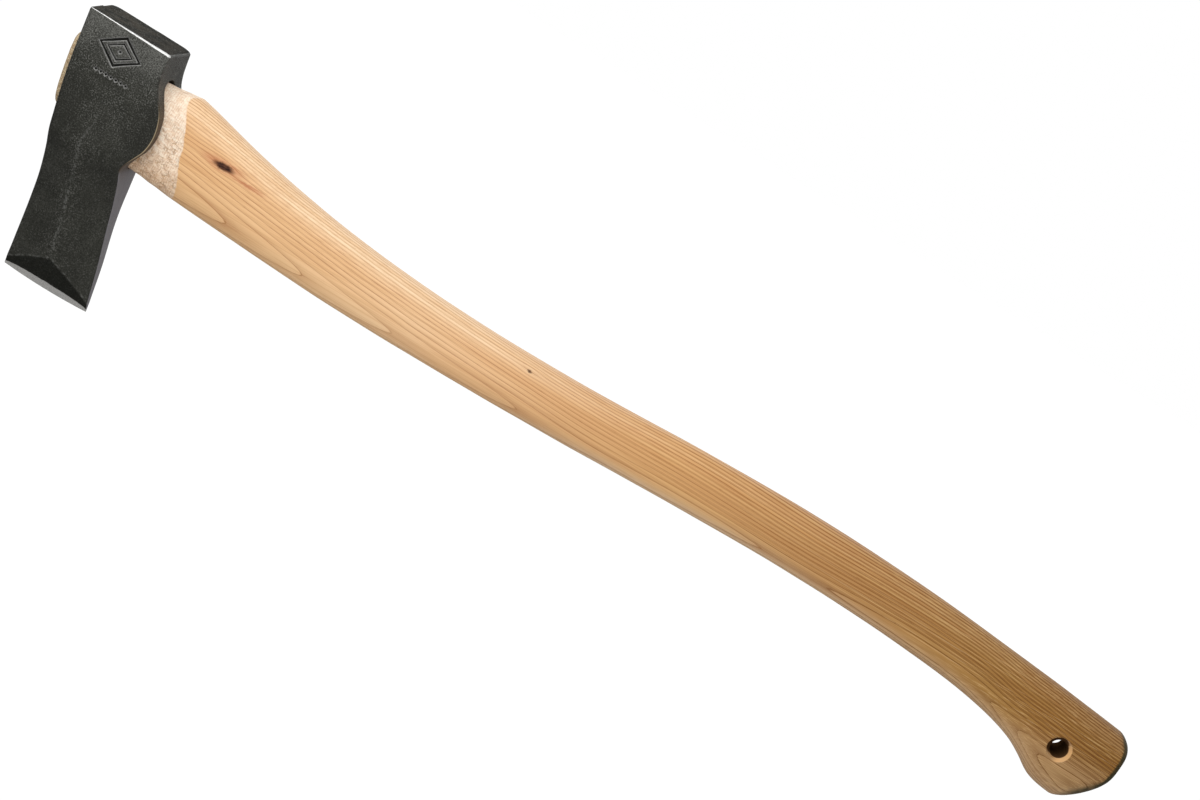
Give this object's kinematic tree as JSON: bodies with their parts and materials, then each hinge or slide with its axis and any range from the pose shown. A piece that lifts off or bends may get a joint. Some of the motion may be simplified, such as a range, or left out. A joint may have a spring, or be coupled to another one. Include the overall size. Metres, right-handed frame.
{
  "type": "splitting axe",
  "caption": "Splitting axe with a wedge-shaped forged head and square hammer poll on a curved hickory handle with a drilled, swelled knob.",
  "frame": {"origin": "centre of the poll's striking face", "axes": "+X along the handle from the head to the knob, +Z out of the poll's striking face (the cutting edge is at -Z), +Y across the head's thickness; the XZ plane is the plane of symmetry"},
  "size_m": [0.7229, 0.0436, 0.1597],
  "materials": {
    "forged_steel": "black forge scale under thin clear lacquer, edge ground bright",
    "hickory": "oiled, fine straight grain",
    "wedge_wood": "end grain, sawn flush",
    "bright_steel": "plain turned steel"
  },
  "bodies": {
    "root": {"axe_head": "forged_steel", "handle": "hickory", "kerf_wedge": "wedge_wood", "ring_wedge": "bright_steel"}
  },
  "joints": []
}
